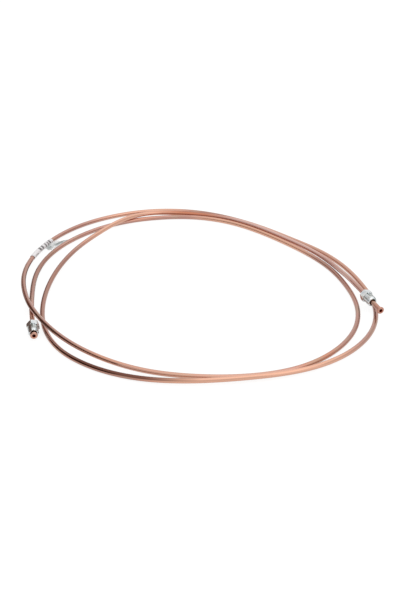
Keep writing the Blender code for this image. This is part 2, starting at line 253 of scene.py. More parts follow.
# the nuts' sizes stand here because the pipe's ends are raised to clear them
nutSettings = {
    "length": 17.0 * mm,
    "flats": 11.0 * mm,
    "hexLength": 6.5 * mm,
    "turn": math.radians(-15.0),  # how the hexagons stand, from a flat that faces up
    "crest": 9.9 * mm,
    "pitch": 1.0 * mm,
    "threadDepth": 0.28 * mm,
    "threadStart": 0.12 * mm,
    "flankStart": 0.30,         # in half pitches from the middle of the crest
    "flankLength": 0.60,
    "threadRows": 12,           # for each mm
    "relief": 9.1 * mm,
    "reliefLength": 0.9 * mm,
    "nose": 8.0 * mm,
    "noseTaper": 1.6 * mm,
    "bore": 5.3 * mm,
    "boreChamfer": 0.4 * mm,
    "seat": 6.6 * mm,
    "seatDepth": 1.2 * mm,
    "leftBack": 2.3 * mm,       # how far each nut lies behind its seat
    "rightBack": 15.5 * mm,
    "cornerRound": 0.22 * mm,
    "chamferShare": 0.9,        # its length, over what the corners stand out past the flats
    "chamferSlope": 1.6,
    "chamferRows": 8,
    "plainRows": 6,             # along the flats, and along the bore
    "sharpAngle": 32.0,
    # broken edges at the front: height, and how far past the seat's or the nose's radius
    "seatEdge": [(0.12 * mm, -0.04 * mm), (0.02 * mm, 0.03 * mm), (0.0, 0.12 * mm)],
    "noseEdge": [(0.0, -0.22 * mm), (0.04 * mm, -0.08 * mm)],
    # the relief's corner: how far in front of the hexagon, how far past the relief's radius, and how dark its
    # painted shade is
    "reliefEdge": [(0.15 * mm, 0.0, 0.3), (0.03 * mm, 0.05 * mm, 0.3), (0.0, 0.2 * mm, 0.2)],
    "faceEdge": 0.08 * mm,      # how far inside the chamfers the hexagon's two end faces stop
    # the bore's chamfer at the back: how far in front of the back, and how far past the chamfer's radius
    "boreEdge": [(0.0, 0.05 * mm), (0.02 * mm, -0.02 * mm)],
    # how dark the painted shade is in the thread's root and in the bore
    "rootShade": 0.85,
    "boreShade": 0.5,
    # points round one side of the hexagon, in degrees from the middle of its flat
    "sideTurns": (-28.9, -26.5, -23, -18, -13, -8, -3, 3, 8, 13, 18, 23, 26.5, 28.9, 29.6, 30.0, 30.4),
}
# the pipe's course, the same stations as its solid: bearing in degrees clockwise from the right as seen
# from above, radius in coil radii, and height above a strand on the floor in stacked strands
coilStations = [
    (172, 0.9782, 0.48), (185, 0.9824, 0.13), (195, 0.9941, 0.00), (210, 1.0035, 0.00),
    (225, 1.0029, 0.00), (240, 0.9947, 0.00), (255, 0.9694, 0.00), (270, 0.9365, 0.00),
    (285, 0.8800, 0.00), (300, 0.8194, 0.00), (315, 0.7882, 0.00), (330, 0.7953, 0.00),
    (345, 0.8288, 0.00), (360, 0.8765, 0.00), (375, 0.9482, 0.00), (390, 1.0176, 0.00),
    (405, 1.0606, 0.00), (420, 1.0729, 0.00), (435, 1.0465, 0.00), (450, 1.0194, 0.07),
    (465, 1.0159, 0.38), (480, 1.0112, 0.84), (495, 1.0106, 1.43), (507, 1.0094, 1.76),
    (518, 1.0135, 1.84), (530, 1.0212, 1.62), (540, 1.0359, 1.24), (555, 1.0653, 0.68),
    (570, 1.0941, 0.30), (585, 1.1165, 0.07), (600, 1.1112, 0.00), (615, 1.0800, 0.00),
    (630, 1.0188, 0.00), (645, 0.9400, 0.00), (660, 0.8788, 0.00), (675, 0.8547, 0.00),
    (690, 0.8794, 0.00), (705, 0.9206, 0.00), (720, 0.9741, 0.00), (735, 1.0541, 0.00),
    (750, 1.1118, 0.00), (765, 1.1271, 0.03), (780, 1.1118, 0.27), (795, 1.0794, 0.43),
    (810, 1.0741, 0.39), (825, 1.0824, 0.17), (840, 1.0788, 0.00), (855, 1.0547, 0.00),
    (870, 0.9918, 0.00), (885, 0.9247, 0.09), (900, 0.8824, 0.21), (915, 0.8671, 0.45),
    (930, 0.8729, 0.78), (945, 0.9012, 1.06), (960, 0.9671, 1.17), (972, 1.0129, 0.66),
    (982, 1.0024, 0.24), (990, 0.9753, 0.15), (1005, 0.9100, 0.37), (1020, 0.8488, 0.37),
    (1035, 0.8212, 0.31), (1050, 0.8306, 0.37), (1062, 0.8482, 0.55), (1070, 0.8635, 0.83),
]


def heading(degrees):
    turn = math.radians(degrees)
    return np.array([math.cos(turn), math.sin(turn), 0.0])


def traceCourse():
    p = pipeSettings
    lowest = p["outside"] / 2
    stack = p["outside"] + p["clearance"]
    corner = nutSettings["flats"] / 2 / math.cos(flatToCorner)
    leftHeight = corner + p["clearance"] / 2
    rightHeight = stack + corner * math.cos(nutSettings["turn"])
    leftFace = np.array([*(p["coilRadius"] * v for v in p["leftFace"]), leftHeight])
    rightFace = np.array([*(p["coilRadius"] * v for v in p["rightFace"]), rightHeight])
    leftWay, rightWay = heading(p["leftHeading"]), -heading(p["rightHeading"])
    bends = [leftFace + leftWay * p["leftStraight"]]
    for bearing, radius, level in coilStations:
        out = radius * p["coilRadius"] * heading(-bearing)
        bends.append(out + (0.0, 0.0, lowest + level * stack))
    bends.append(rightFace - rightWay * p["rightStraight"])
    bends = np.array(bends)
    # a clamped cubic spline through the bends, straight on into both ends
    gaps = np.linalg.norm(np.diff(bends, axis=0), axis=1)
    count = len(bends)
    weights, wanted = np.zeros((count, count)), np.zeros((count, 3))
    weights[0, 0] = weights[-1, -1] = 1.0
    wanted[0], wanted[-1] = leftWay, rightWay
    for i in range(1, count - 1):
        before, after = gaps[i - 1], gaps[i]
        weights[i, i - 1:i + 2] = after, 2 * (before + after), before
        wanted[i] = 3 * (after * (bends[i] - bends[i - 1]) / before
                         + before * (bends[i + 1] - bends[i]) / after)
    slopes = np.linalg.solve(weights, wanted)
    steps = round(p["leftStraight"] / p["axisStep"])
    points = [leftFace + leftWay * p["leftStraight"] * k / steps for k in range(steps)]
    for i in range(count - 1):
        steps = max(2, round(gaps[i] / p["axisStep"]))
        for k in range(steps):
            t = k / steps
            points.append(
                (2 * t ** 3 - 3 * t ** 2 + 1) * bends[i]
                + (t ** 3 - 2 * t ** 2 + t) * gaps[i] * slopes[i]
                + (3 * t ** 2 - 2 * t ** 3) * bends[i + 1]
                + (t ** 3 - t ** 2) * gaps[i] * slopes[i + 1]
            )
    steps = round(p["rightStraight"] / p["axisStep"])
    points += [bends[-1] + rightWay * p["rightStraight"] * k / steps for k in range(steps + 1)]
    points = np.array(points)
    points[:, 2] = np.maximum(points[:, 2], lowest)
    # the frame's origin is the middle of the box, where the right flare reaches past the strands
    low = points.min(axis=0) - lowest
    high = points.max(axis=0) + lowest
    high[0] = max(high[0], rightFace[0] + p["flareOutside"] / 2 * abs(rightWay[1]))
    middle = (low + high) / 2
    middle[2] = 0.0
    return points - middle


course = traceCourse()
courseRun = np.concatenate([[0.0], np.cumsum(np.linalg.norm(np.diff(course, axis=0), axis=1))])
pipeLength = float(courseRun[-1])
print(f"course traced, {pipeLength:.3f} m of pipe")


def courseFrames(runs):
    # points on the axis, with the level side and the up of each
    step = pipeSettings["axisStep"]
    places, ahead, behind = (
        np.stack([np.interp(at, courseRun, course[:, k]) for k in range(3)], axis=1)
        for at in (runs, runs + step, runs - step))
    ways = ahead - behind
    ways /= np.linalg.norm(ways, axis=1)[:, None]
    sides = np.cross(ways, (0.0, 0.0, 1.0))
    sides /= np.linalg.norm(sides, axis=1)[:, None]
    return places, sides, np.cross(sides, ways)


def addMesh(name, verts, faces, extra, surface):
    # extra holds one vector of material coordinates for each point
    mesh = bpy.data.meshes.new(name)
    mesh.from_pydata(verts.tolist(), [], faces.tolist())
    place = mesh.attributes.new("surfacePlace", "FLOAT_VECTOR", "POINT")
    place.data.foreach_set("vector", np.asarray(extra, dtype=np.float32).reshape(-1))
    mesh.materials.append(surface)
    mesh.shade_smooth()
    piece = bpy.data.objects.new(name, mesh)
    scene.collection.objects.link(piece)
    return piece


def meshFromRings(name, rings, extra, surface):
    # rings of equal size joined ring to ring, and the last to the first
    count, around = rings.shape[:2]
    i, j = np.meshgrid(np.arange(count), np.arange(around), indexing="ij")
    n, k = (i + 1) % count, (j + 1) % around
    faces = np.stack([i * around + j, i * around + k, n * around + k, n * around + j], axis=-1)
    skin = addMesh(name, rings.reshape(-1, 3), faces.reshape(-1, 4), extra, surface)
    uvs = skin.data.uv_layers.new(name="UVMap")
    u = np.stack([i, i, i + 1, i + 1], axis=-1).reshape(-1) / count
    v = np.stack([j, j + 1, j + 1, j], axis=-1).reshape(-1) / around
    uvs.data.foreach_set("uv", np.stack([u, v], axis=-1).astype(np.float32).reshape(-1))
    return skin


# half-hard copper tube, drawn through a die, handled and a little dulled
copperSettings = {
    "body": "#C09488",
    "fresh": "#D29274",
    "tan": "#B9A08C",
    # painted light, for stretches that reflect more brightly
    "brightened": "#E3B097",
    # random duller patches, and the painted shade of stretches that reflect more darkly
    "dulledAndShaded": "#AC8173",
    # a pinker and lighter tone, partly painted light
    "rosy": "#DDB6AC",
    # a deeper orange tone on one stretch
    "deepOrange": "#C47A5A",
    # the brown of the painted shade on one stretch's upper side
    "upperSideShade": "#6E4538",
    "inside": "#B4523C",         # the bore keeps its brown oxide
    # stretches along the tube: start and end in metres, how much, and tone; the brightened ones are painted
    # light and the dulled ones painted shade, for brighter and darker reflections, and the rosy ones a pinker
    # tone that is partly painted light
    "stretches": [
        (0.000, 0.050, 0.80, "brightened"), (0.380, 0.530, 0.90, "brightened"),
        (0.800, 0.950, 0.50, "brightened"), (0.950, 0.990, 0.50, "brightened"),
        (1.330, 1.430, 0.70, "brightened"), (1.500, 1.720, 0.50, "brightened"),
        (1.830, 2.020, 0.90, "brightened"), (2.360, 2.480, 0.80, "brightened"),
        (0.080, 0.185, 0.90, "dulledAndShaded"), (0.540, 0.620, 0.60, "dulledAndShaded"), (1.110, 1.185, 0.60, "dulledAndShaded"),
        (1.440, 1.490, 0.80, "dulledAndShaded"), (2.040, 2.110, 0.70, "dulledAndShaded"), (2.170, 2.330, 0.75, "dulledAndShaded"),
        (2.530, 2.690, 0.90, "rosy"), (2.690, 2.770, 0.35, "rosy"), (2.470, 2.540, 0.80, "deepOrange"),
    ],
    "softEnd": 0.02,             # metres over which a stretch fades in or out, on either side of its end
    # painted shade: a brown that one stretch carries on its upper side
    "upperSideShadeStretch": (2.010, 2.115, 0.90),
    "upperSideShadeLead": 0.03,         # metres that it starts to show ahead of its own start
    "upperSideShadeRise": (0.5, 1.2),   # mm above the tube's axis, where it starts and where it is full
    # patches: the noise level where each starts and where it is full, and how much
    "freshPatch": (0.50, 0.70, 0.70),
    "dullPatch": (0.46, 0.34, 0.50),
    "hazePatch": (0.52, 0.74, 0.12),
    "tanPatch": (0.52, 0.62, 0.45),
    "patch": 90.0,               # mm along the tube
    "patchAround": 14.0,         # mm round it
    "tanSize": 21.0,             # mm
    "mottle": 5.0,               # mm, the haze left by hands and by the drawing soap
    "mottleStretch": 0.3,        # its size across the tube, over that along it
    "drawLine": 0.55,            # mm; the real lines are about 0.1 mm, drawn coarser to show
    "drawReach": 80.0,           # mm that one line runs
    "insideEdge": (0.30, 0.18),  # mm outside the bore, where the oxide starts and where it is full
    "roughness": 0.15,
    # what the haze and the draw lines add to it: two noise levels, and what is added at each
    "hazeRoughness": (0.35, 0.70, -0.02, 0.04),
    "lineRoughness": (0.3, 0.7, -0.01, 0.02),
    "insideRoughness": 0.4,      # added in the bore
}


def makeCopper():
    # the eye gets a soft metal gloss with clean bands along the tube, faint draw lines, and pinker or
    # browner patches
    s = copperSettings
    made, tree, shader = newMaterial("drawn_copper_tube")
    place = addNode(tree, "Attribute", {"attribute_name": "surfacePlace"}).outputs["Vector"]
    parts = addNode(tree, "SeparateXYZ", None, {0: place})
    across, along = 1 / (s["patchAround"] * mm), 1 / (s["patch"] * mm)
    wide = addNode(tree, "VectorMath", {"operation": "MULTIPLY", 1: (across, across, along)}, {0: place})
    patches = addNode(tree, "TexNoise", {"Scale": 1.0, "Detail": 2.0, "Roughness": 0.5}, {0: wide})
    across, along = 1 / (s["mottle"] * mm), s["mottleStretch"] / (s["mottle"] * mm)
    small = addNode(tree, "VectorMath", {"operation": "MULTIPLY", 1: (across, across, along)}, {0: place})
    mottle = addNode(tree, "TexNoise", {"Scale": 1.0, "Detail": 3.0, "Roughness": 0.55}, {0: small})
    across, along = 1 / (s["drawLine"] * mm), 1 / (s["drawReach"] * mm)
    drawn = addNode(tree, "VectorMath", {"operation": "MULTIPLY", 1: (across, across, along)}, {0: place})
    lines = addNode(tree, "TexNoise", {"Scale": 1.0, "Detail": 2.0, "Roughness": 0.6}, {0: drawn})
    tanned = addNode(tree, "TexNoise", {"Scale": 1 / (s["tanSize"] * mm), "Detail": 1.0}, {0: place})

    start, full, amount = s["freshPatch"]
    share = addNode(tree, "MapRange", {1: start, 2: full, 3: 0.0, 4: amount}, {0: patches})
    colour = addNode(tree, "Mix", {"data_type": "RGBA", 6: s["body"], 7: s["fresh"]}, {0: share})
    for pattern, patch, tone in ((patches, "dullPatch", "dulledAndShaded"), (mottle, "hazePatch", "dulledAndShaded"),
                                 (tanned, "tanPatch", "tan")):
        start, full, amount = s[patch]
        share = addNode(tree, "MapRange", {1: start, 2: full, 3: 0.0, 4: amount}, {0: pattern})
        colour = addNode(tree, "Mix", {"data_type": "RGBA", 7: s[tone]}, {0: share, 6: colour})

    def stretchShare(start, end, amount, lead):
        # amount inside the stretch and none outside, soft at both ends
        soft = s["softEnd"]
        rise = addNode(tree, "MapRange", {1: start - lead, 2: start + soft, 3: 0.0, 4: amount},
                       {0: parts.outputs["Z"]})
        fall = addNode(tree, "MapRange", {1: end + soft, 2: end - soft}, {0: parts.outputs["Z"]})
        return addNode(tree, "Math", {"operation": "MULTIPLY"}, {0: rise, 1: fall})

    # each stretch mixes in its tone; the brightened and dulled ones are painted light and painted shade
    for start, end, amount, tone in s["stretches"]:
        share = stretchShare(start, end, amount, s["softEnd"])
        colour = addNode(tree, "Mix", {"data_type": "RGBA", 7: s[tone]}, {0: share, 6: colour})
    # painted shade, darker brown on the upper side of one stretch
    low, high = s["upperSideShadeRise"]
    upper = addNode(tree, "MapRange", {1: low * mm, 2: high * mm}, {0: parts.outputs["Y"]})
    share = addNode(tree, "Math", {"operation": "MULTIPLY"},
                    {0: stretchShare(*s["upperSideShadeStretch"], s["upperSideShadeLead"]), 1: upper})
    colour = addNode(tree, "Mix", {"data_type": "RGBA", 7: s["upperSideShade"]}, {0: share, 6: colour})
    # the bore is told from the outside by its distance from the tube's axis
    section = addNode(tree, "VectorMath", {"operation": "MULTIPLY", 1: (1.0, 1.0, 0.0)}, {0: place})
    radius = addNode(tree, "VectorMath", {"operation": "LENGTH"}, {0: section})
    bore = pipeSettings["outside"] / 2 - pipeSettings["wall"]
    start, full = s["insideEdge"]
    inner = addNode(tree, "MapRange", {1: bore + start * mm, 2: bore + full * mm}, {0: radius})
    colour = addNode(tree, "Mix", {"data_type": "RGBA", 7: s["inside"]}, {0: inner, 6: colour})
    tree.links.new(colour.outputs[2], shader.inputs["Base Color"])

    start, end, low, high = s["hazeRoughness"]
    hazed = addNode(tree, "MapRange", {1: start, 2: end, 3: s["roughness"] + low, 4: s["roughness"] + high},
                    {0: mottle})
    start, end, low, high = s["lineRoughness"]
    lined = addNode(tree, "MapRange", {1: start, 2: end, 3: low, 4: high}, {0: lines})
    rough = addNode(tree, "Math", {"operation": "ADD"}, {0: hazed, 1: lined})
    dull = addNode(tree, "Math", {"operation": "MULTIPLY_ADD", 1: s["insideRoughness"]}, {0: inner, 2: rough})
    tree.links.new(dull.outputs[0], shader.inputs["Roughness"])
    shader.inputs["Metallic"].default_value = 1.0
    relief = addNode(tree, "Bump", {"Strength": 0.2, "Distance": 0.004 * mm}, {"Height": lines})
    tree.links.new(relief.outputs[0], shader.inputs["Normal"])
    return made


def flareRings():
    # distance from the front face, and radius, over the swelling and down onto the tube
    p = pipeSettings
    hole, rim, tube = p["flareHole"] / 2, p["flareOutside"] / 2, p["outside"] / 2
    front = p["flareLength"] * p["flareSwell"]
    rings = []
    for k in range(p["curlRings"] + 1):
        turn = math.radians(90 * k / p["curlRings"])
        reach = p["flareCurl"] * front * (1 - math.cos(turn))
        rings.append((reach, hole + (rim - hole) * math.sin(turn)))
    rings.append((p["rimMiddle"] * front, rim))
    for k in range(p["rimRings"] + 1):
        turn = math.radians(45 * k / p["rimRings"])
        reach = front - p["rimBack"] + p["rimRound"] * math.sin(turn)
        rings.append((reach, rim - p["rimRound"] * (1 - math.cos(turn))))
    edge, shoulder = rings[-1]
    backEnd = p["flareLength"] + p["flareFade"]
    for k in range(1, p["slopeRings"] + 1):
        t = k / p["slopeRings"]
        rings.append((edge + (backEnd - edge) * t, shoulder + (tube - shoulder) * (1 - (1 - t) ** 2)))
    return rings


def buildPipe(surface):
    p = pipeSettings
    tube, bore = p["outside"] / 2, p["outside"] / 2 - p["wall"]
    flare = flareRings()
    edge = flare[-1][0]
    ringCount = round((pipeLength - 2 * edge) / p["ringGap"])
    outer = list(flare[:-1])
    outer += [(edge + (pipeLength - 2 * edge) * k / ringCount, tube) for k in range(ringCount + 1)]
    outer += [(pipeLength - d, r) for d, r in reversed(flare[:-1])]
    mouth = [(p["mouth"], p["flareHole"] / 2 - p["mouthLip"]), (p["throat"], bore - p["throatLip"]),
             (p["throatEnd"], bore)]
    boreLength = pipeLength - 2 * p["boreStart"]
    boreEnd = pipeLength - p["boreStart"]
    boreCount = round(boreLength / p["boreRingGap"])
    inner = [(pipeLength - d, r) for d, r in mouth]
    inner += [(boreEnd - boreLength * k / boreCount, bore) for k in range(boreCount + 1)]
    inner += list(reversed(mouth))
    sections = np.array(outer + inner)
    places, sides, ups = courseFrames(sections[:, 0])
    turns = 2 * np.pi * np.arange(p["sides"]) / p["sides"]
    cos, sin = np.cos(turns)[None, :, None], np.sin(turns)[None, :, None]
    radii = sections[:, 1][:, None, None]
    rings = places[:, None, :] + radii * (cos * sides[:, None, :] + sin * ups[:, None, :])
    run = np.broadcast_to(sections[:, 0][:, None, None], (len(sections), p["sides"], 1))
    extra = np.concatenate([radii * cos, radii * sin, run], axis=2)
    pipe = meshFromRings("copper_pipe", rings[:, ::-1], extra[:, ::-1], surface)
    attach(pipe, "pipe")
    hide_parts("brake_pipe")
    print(f"pipe built, {len(pipe.data.polygons)} faces")


buildPipe(makeCopper())


# clear-passivated bright zinc electroplate on turned steel
zincSettings = {
    "plate": "#ECEEEE",
    "blueCast": "#CDD5DA",
    "strawCast": "#DAD6CB",
    # the colour of the painted shade in the thread's root, at the relief's corner and in the bore
    "root": "#8F9394",
    "darkReflection": "#62685F",    # painted dark reflection, in streaks along the nut
    # the noise level where each starts and where it is full, and how much
    "bluePatch": (0.50, 0.65, 0.8),
    "strawPatch": (0.46, 0.33, 0.7),
    "darkReflectionPatch": (0.50, 0.62, 0.8),
    "cast": 4.5,           # mm, drift of the passivate's colour
    "streak": 2.2,         # mm, width of one streak of painted dark reflection
    "streakStretch": 0.2,  # its width over its length
    "grain": 0.3,          # mm; the plate's grain is finer, drawn coarser to show
    "turningMark": 0.18,   # mm between the marks that the turning tool left
    "markDepth": 0.25,     # over the grain's
    "roughness": 0.2,
    "grainRoughness": (0.3, 0.7, -0.03, 0.08),  # two noise levels, and what is added at each
}


def makeZinc():
    # the eye gets a cool bright metal with crisp facets, a faint blue and straw cast, painted shade in the
    # thread roots, and streaks of painted dark reflection along the nut
    s = zincSettings
    made, tree, shader = newMaterial("bright_zinc_plate")
    place = addNode(tree, "Attribute", {"attribute_name": "surfacePlace"}).outputs["Vector"]
    parts = addNode(tree, "SeparateXYZ", None, {0: place})
    wide = addNode(tree, "VectorMath", {"operation": "SCALE", 3: 1 / (s["cast"] * mm)}, {0: place})
    cast = addNode(tree, "TexNoise", {"Scale": 1.0, "Detail": 2.0}, {0: wide})
    fine = addNode(tree, "VectorMath", {"operation": "SCALE", 3: 1 / (s["grain"] * mm)}, {0: place})
    grain = addNode(tree, "TexNoise", {"Scale": 1.0, "Detail": 3.0, "Roughness": 0.6}, {0: fine})
    across, along = 1 / (s["streak"] * mm), s["streakStretch"] / (s["streak"] * mm)
    lengthwise = addNode(tree, "VectorMath", {"operation": "MULTIPLY", 1: (across, across, along)}, {0: place})
    streaks = addNode(tree, "TexNoise", {"Scale": 1.0, "Detail": 1.0}, {0: lengthwise})

    start, full, amount = s["bluePatch"]
    blue = addNode(tree, "MapRange", {1: start, 2: full, 3: 0.0, 4: amount}, {0: cast})
    colour = addNode(tree, "Mix", {"data_type": "RGBA", 6: s["plate"], 7: s["blueCast"]}, {0: blue})
    start, full, amount = s["strawPatch"]
    straw = addNode(tree, "MapRange", {1: start, 2: full, 3: 0.0, 4: amount}, {0: cast})
    colour = addNode(tree, "Mix", {"data_type": "RGBA", 7: s["strawCast"]}, {0: straw, 6: colour})
    # painted dark reflection, in streaks along the nut
    start, full, amount = s["darkReflectionPatch"]
    darkReflectionShare = addNode(tree, "MapRange", {1: start, 2: full, 3: 0.0, 4: amount}, {0: streaks})
    colour = addNode(tree, "Mix", {"data_type": "RGBA", 7: s["darkReflection"]}, {0: darkReflectionShare, 6: colour})
    # painted shade, darker in the thread's root, at the relief's corner and in the bore
    depth = addNode(tree, "Attribute", {"attribute_name": "recessShade"}).outputs["Fac"]
    colour = addNode(tree, "Mix", {"data_type": "RGBA", 7: s["root"]}, {0: depth, 6: colour})
    tree.links.new(colour.outputs[2], shader.inputs["Base Color"])

    start, end, low, high = s["grainRoughness"]
    rough = addNode(tree, "MapRange", {1: start, 2: end, 3: s["roughness"] + low, 4: s["roughness"] + high},
                    {0: grain})
    tree.links.new(rough.outputs[0], shader.inputs["Roughness"])
    shader.inputs["Metallic"].default_value = 1.0
    # turning marks ring the shank, and the plate's grain lies over them
    turned = addNode(tree, "Math", {"operation": "MULTIPLY", 1: 2 * math.pi / (s["turningMark"] * mm)},
                     {0: parts.outputs["Z"]})
    marks = addNode(tree, "Math", {"operation": "SINE"}, {0: turned})
    both = addNode(tree, "Math", {"operation": "MULTIPLY_ADD", 1: s["markDepth"]}, {0: marks, 2: grain})
    relief = addNode(tree, "Bump", {"Strength": 0.15, "Distance": 0.006 * mm}, {"Height": both})
    tree.links.new(relief.outputs[0], shader.inputs["Normal"])
    return made


def hexRadii(turns):
    # distance to a rounded hexagon's outline, with flats facing 0, 60, ... degrees
    flat, rounding = nutSettings["flats"] / 2, nutSettings["cornerRound"]
    centre = (flat - rounding) / math.cos(flatToCorner)
    reach = math.atan2(rounding * math.sin(flatToCorner), centre + rounding * math.cos(flatToCorner))
    fromCorner = (turns - flatToCorner) % (2 * flatToCorner)
    fromCorner = np.minimum(fromCorner, 2 * flatToCorner - fromCorner)
    straight = flat / np.cos(flatToCorner - fromCorner)
    inside = np.maximum(rounding ** 2 - (centre * np.sin(fromCorner)) ** 2, 0.0)
    return np.where(fromCorner < reach, centre * np.cos(fromCorner) + np.sqrt(inside), straight)


def buildNut(name, surface, body, node, end, inward, noseBack):
    n = nutSettings
    bore, seat, nose, crest, relief = (n[key] / 2 for key in ("bore", "seat", "nose", "crest", "relief"))
    root = crest - n["threadDepth"]
    length = n["length"]
    hexFront = length - n["hexLength"]
    corner = n["flats"] / 2 / math.cos(flatToCorner)
    chamfer = (corner - n["flats"] / 2) * n["chamferShare"]
    face = corner - chamfer * n["chamferSlope"]
    turns = np.array([math.radians(60 * side + offset) for side in range(6) for offset in n["sideTurns"]])
    hexagon = hexRadii(turns)
    heightRows, radiusRows, shadeRows = [], [], []

    def addRow(height, radius, dark=0.0):
        heightRows.append(np.full(len(turns), height))
        radiusRows.append(np.broadcast_to(radius, len(turns)))
        shadeRows.append(np.broadcast_to(dark, len(turns)))

    addRow(n["seatDepth"], bore)
    addRow(n["seatDepth"] * 0.5, (bore + seat) / 2)
    for height, past in n["seatEdge"]:
        addRow(height, seat + past)
    for height, past in n["noseEdge"]:
        addRow(height, nose + past)
    # the thread, from the nose to its run-out in the relief, with a rolled crest and root
    noseSlope = (crest - nose) / n["noseTaper"]
    threadStart = n["threadStart"]
    threadEnd = hexFront - n["reliefLength"] - (crest - relief)
    count = round((threadEnd + (crest - relief)) / mm * n["threadRows"])
    for k in range(1, count + 1):
        height = threadStart + (threadEnd + crest - relief - threadStart) * k / count
        phase = (height / n["pitch"] - turns / (2 * math.pi)) % 1.0
        fromCrest = np.abs(phase - 0.5) * 2
        fall = np.clip((fromCrest - n["flankStart"]) / n["flankLength"], 0.0, 1.0)
        fall = fall * fall * (3 - 2 * fall)
        cut = crest - (crest - root) * fall
        limit = min(nose + noseSlope * height, crest, crest - max(0.0, height - threadEnd))
        radius = np.minimum(cut, max(limit, relief) if height > threadEnd else limit)
        # painted shade, deeper towards the thread's root
        addRow(height, radius, np.clip((limit - radius) / (crest - root), 0.0, 1.0) * n["rootShade"])
    # painted shade at the relief's corner
    for before, past, dark in n["reliefEdge"]:
        addRow(hexFront - before, relief + past, dark)
    addRow(hexFront, face - n["faceEdge"])
    for k in range(n["chamferRows"] + 1):
        height = hexFront + chamfer * k / n["chamferRows"]
        addRow(height, np.minimum(hexagon, face + (height - hexFront) * n["chamferSlope"]))
    for k in range(1, n["plainRows"]):
        addRow(hexFront + chamfer + (n["hexLength"] - 2 * chamfer) * k / n["plainRows"], hexagon)
    for k in range(n["chamferRows"] + 1):
        height = length - chamfer + chamfer * k / n["chamferRows"]
        addRow(height, np.minimum(hexagon, face + (length - height) * n["chamferSlope"]))
    addRow(length, face - n["faceEdge"])
    for before, past in n["boreEdge"]:
        addRow(length - before, bore + n["boreChamfer"] + past)
    boreEnd = length - n["boreChamfer"]
    addRow(boreEnd, bore)
    # painted shade along the bore
    for k in range(1, n["plainRows"]):
        addRow(boreEnd - (boreEnd - n["seatDepth"]) * k / n["plainRows"], bore, n["boreShade"])

    heights, radii = np.array(heightRows)[:, :, None], np.array(radiusRows)[:, :, None]
    inward, up = np.array(inward), np.array([0.0, 0.0, 1.0])
    side = np.cross(up, inward)
    cos, sin = np.cos(turns + n["turn"])[None, :, None], np.sin(turns + n["turn"])[None, :, None]
    rings = np.array(end) + inward * (noseBack + heights) + radii * (cos * up + sin * side)
    extra = np.concatenate([radii * cos, radii * sin, heights], axis=2)
    nut = meshFromRings(name, rings, extra, surface)
    # the painted shade goes to the material as an attribute
    mark = nut.data.attributes.new("recessShade", "FLOAT", "POINT")
    mark.data.foreach_set("value", np.array(shadeRows, dtype=np.float32).reshape(-1))
    nut.data.set_sharp_from_angle(angle=math.radians(n["sharpAngle"]))
    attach(nut, body)
    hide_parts(node)
    print(f"{name} built, {len(nut.data.polygons)} faces")


# a seated nut's nose stops where its seat's rim meets the slope behind the flare, and a clearance short of it
slopeLength = pipeSettings["flareLength"] * (1 - pipeSettings["flareSwell"])
slopeRise = pipeSettings["flareOutside"] - pipeSettings["outside"]
seatShare = (nutSettings["seat"] - pipeSettings["outside"]) / slopeRise
seatedNose = pipeSettings["flareLength"] - slopeLength * seatShare + pipeSettings["clearance"]
zinc = makeZinc()
buildNut("left_tube_nut", zinc, "left_nut", "tube_nut_left", course[0],
         heading(pipeSettings["leftHeading"]), seatedNose + nutSettings["leftBack"])
buildNut("right_tube_nut", zinc, "right_nut", "tube_nut_right", course[-1],
         heading(pipeSettings["rightHeading"]), seatedNose + nutSettings["rightBack"])


# marker label: white vinyl wrapped round the tube, with a clear tail left standing off it
labelSettings = {
    "start": 1203.0 * mm,
    "length": 46.5 * mm,
    "inner": 2.39 * mm,     # from the tube's axis
    "outer": 2.84 * mm,
    "film": 0.42 * mm,      # two or three turns of it
    "overlap": 205.0,       # degrees round the tube where the outer layer ends
    "lap": 0.13 * mm,       # how far it steps down there
    "lapWidth": 0.8,        # and over how many degrees
    "ripple": 0.02 * mm,
    "rippleLength": 5.3 * mm,
    "endLift": 0.05 * mm,   # the cut ends stand off by up to twice this
    "endLiftReach": 0.8 * mm,
    "vinyl": "#ECE9EA",
    "shaded": "#D9D3D5",
    "ink": "#464141",
    # plain bars of ink: where each starts and ends along the label in mm, and round it in degrees, and
    # how dark
    "bars": [
        (4.2, 12.0, 0, 24, 0.62), (17.4, 21.2, 20, 102, 0.96), (19.6, 22.8, -45, 14, 0.95),
        (23.2, 26.6, 10, 96, 0.90), (30.2, 33.2, -4, 92, 0.78), (35.4, 37.6, -25, 86, 0.86),
        (39.0, 41.8, 5, 94, 0.97),
    ],
    "inkEdge": 0.25 * mm,   # how soft the bars' edges are along the label
    "inkTurnEdge": 3.0,     # degrees, the same round it
    "wearScale": 700.0,     # how many worn specks fit along the label's box
    "wear": (0.3, 0.6, 0.75, 1.0),   # two noise levels, and the share of ink that is left at each
    "shadeScale": 120.0,
    "shadePatch": (0.4, 0.7, 0.6),   # noise level where it starts and where it is full, and how much
    "roughness": 0.34,
    "gloss": 0.25,
    "glossRoughness": 0.12,
    "rings": 60,
    "outerPoints": 26,
    "innerPoints": 20,
    "lastTurn": 355.0,      # degrees
    "sharpAngle": 40.0,
}
